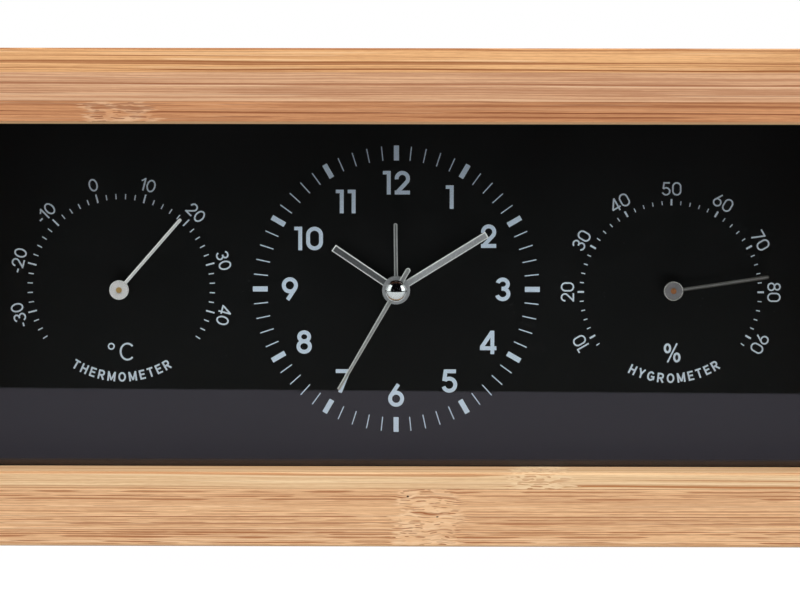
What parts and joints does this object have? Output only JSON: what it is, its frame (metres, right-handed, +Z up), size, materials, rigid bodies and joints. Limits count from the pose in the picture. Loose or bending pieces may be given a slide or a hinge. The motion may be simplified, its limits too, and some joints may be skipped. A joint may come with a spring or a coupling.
{
  "type": "thermometer hygrometer clock",
  "caption": "Bamboo-framed table clock: a long glazed box with a black dial plate that carries an alarm clock between a round thermometer and a round hygrometer.",
  "frame": {"origin": "under the middle of the case, on the surface that it stands on", "axes": "+X to the right along the case, +Y from the front to the back, +Z up; the dial faces -Y"},
  "size_m": [0.23, 0.05, 0.11],
  "materials": {
    "bamboo": "satin laminated bamboo",
    "clear_glass": "polished",
    "black_dial": "smooth, printed in pale blue grey",
    "black_plastic": "matt",
    "back_board": "black painted board",
    "block_wood": "sawn",
    "movement_plastic": "fine moulded grain",
    "knob_plastic": "moulded",
    "wheel_plastic": "natural acetal",
    "hand_metal": "brushed with bright bevels",
    "pointer_metal": "satin",
    "bright_chrome": "mirror",
    "brass": "turned",
    "bimetal": "rolled strip",
    "steel": "zinc plated",
    "screw_steel": "zinc plated",
    "copper_wire": "enamelled copper",
    "circuit_laminate": "lacquered",
    "cell_sleeve": "printed film, plain"
  },
  "bodies": {
    "case": {"case_top_board": "bamboo", "case_bottom_board": "bamboo", "case_left_board": "bamboo", "case_right_board": "bamboo", "front_glass": "clear_glass", "spacer_frame": "black_plastic", "dial_plate": "black_dial", "dial_corner_blocks": "block_wood", "back_panel": "back_board", "back_panel_screws": "screw_steel", "movement_front_case": "movement_plastic", "movement_middle_plate": "movement_plastic", "movement_rear_case": "movement_plastic", "movement_screws": "screw_steel", "motor_stator": "steel", "motor_coil_core": "steel", "motor_coil": "copper_wire", "circuit_board": "circuit_laminate", "quartz_crystal": "steel", "alarm_buzzer": "brass", "battery_contact_positive": "steel", "battery_contact_negative": "steel", "thermometer_bush": "brass", "thermometer_bracket": "steel", "thermometer_coil": "bimetal", "hygrometer_bush": "brass", "hygrometer_bracket": "steel", "hygrometer_coil": "bimetal", "gauge_screws": "screw_steel"},
    "second_group": {"second_wheel": "wheel_plastic", "second_hand": "hand_metal", "second_hand_cap": "bright_chrome"},
    "third_group": {"third_wheel": "wheel_plastic"},
    "minute_group": {"minute_wheel": "wheel_plastic", "minute_hand": "hand_metal"},
    "hour_group": {"hour_wheel": "wheel_plastic", "hour_hand": "hand_metal"},
    "time_set_group": {"motion_wheel": "wheel_plastic", "time_set_knob": "knob_plastic"},
    "intermediate_group": {"intermediate_wheel": "wheel_plastic"},
    "rotor_group": {"motor_rotor": "wheel_plastic"},
    "alarm_group": {"alarm_wheel": "wheel_plastic", "alarm_hand": "hand_metal"},
    "alarm_set_group": {"alarm_set_gear": "wheel_plastic", "alarm_set_knob": "knob_plastic"},
    "switch_group": {"alarm_switch": "knob_plastic"},
    "thermometer_group": {"thermometer_arbor": "brass", "thermometer_pointer": "pointer_metal"},
    "hygrometer_group": {"hygrometer_arbor": "brass", "hygrometer_pointer": "pointer_metal"},
    "battery_group": {"battery": "cell_sleeve"}
  },
  "joints": [
    {"name": "second_hand_turn", "type": "hinge", "parent": "case", "child": "second_group", "pos_m": [0, 0, 0.05575], "axis": [0, 1, 0], "continuous": true},
    {"name": "minute_hand_turn", "type": "hinge", "parent": "case", "child": "minute_group", "pos_m": [0, 0, 0.05575], "axis": [0, 1, 0], "continuous": true},
    {"name": "hour_hand_turn", "type": "hinge", "parent": "case", "child": "hour_group", "pos_m": [0, 0, 0.05575], "axis": [0, 1, 0], "continuous": true},
    {"name": "third_wheel_turn", "type": "hinge", "parent": "case", "child": "third_group", "pos_m": [0.00576, 0, 0.06573], "axis": [0, 1, 0], "continuous": true},
    {"name": "time_set_turn", "type": "hinge", "parent": "case", "child": "time_set_group", "pos_m": [-0.01232, 0, 0.05575], "axis": [0, 1, 0], "continuous": true},
    {"name": "intermediate_wheel_turn", "type": "hinge", "parent": "case", "child": "intermediate_group", "pos_m": [-0.0042, 0, 0.06302], "axis": [0, 1, 0], "continuous": true},
    {"name": "rotor_turn", "type": "hinge", "parent": "case", "child": "rotor_group", "pos_m": [-0.01147, 0, 0.06722], "axis": [0, 1, 0], "continuous": true},
    {"name": "alarm_set_turn", "type": "hinge", "parent": "case", "child": "alarm_set_group", "pos_m": [0.01067, 0, 0.04959], "axis": [0, 1, 0], "continuous": true},
    {"name": "alarm_hand_turn", "type": "hinge", "parent": "case", "child": "alarm_group", "pos_m": [0, 0, 0.05575], "axis": [0, 1, 0], "continuous": true},
    {"name": "thermometer_turn", "type": "hinge", "parent": "case", "child": "thermometer_group", "pos_m": [-0.0627, 0, 0.05575], "axis": [0, 1, 0], "range_deg": [-164.1, 81.9], "stiffness_Nm_per_rad": 0.0001},
    {"name": "hygrometer_turn", "type": "hinge", "parent": "case", "child": "hygrometer_group", "pos_m": [0.0627, 0, 0.05575], "axis": [0, 1, 0], "range_deg": [-207.5, 44.5], "stiffness_Nm_per_rad": 0.0001},
    {"name": "alarm_switch_slide", "type": "slide", "parent": "case", "child": "switch_group", "axis": [1, 0, 0], "range_m": [0, 0.003]},
    {"name": "battery_slide", "type": "slide", "parent": "case", "child": "battery_group", "axis": [0, 1, 0], "range_m": [0, 0.025]}
  ],
  "couplings": [
    {"joint": "minute_hand_turn", "follows": "second_hand_turn", "ratio": 0.016667},
    {"joint": "hour_hand_turn", "follows": "second_hand_turn", "ratio": 0.0013889},
    {"joint": "third_wheel_turn", "follows": "second_hand_turn", "ratio": -0.13333},
    {"joint": "time_set_turn", "follows": "second_hand_turn", "ratio": -0.0055556},
    {"joint": "intermediate_wheel_turn", "follows": "second_hand_turn", "ratio": -5},
    {"joint": "rotor_turn", "follows": "second_hand_turn", "ratio": 30},
    {"joint": "alarm_hand_turn", "follows": "alarm_set_turn", "ratio": -0.75}
  ]
}
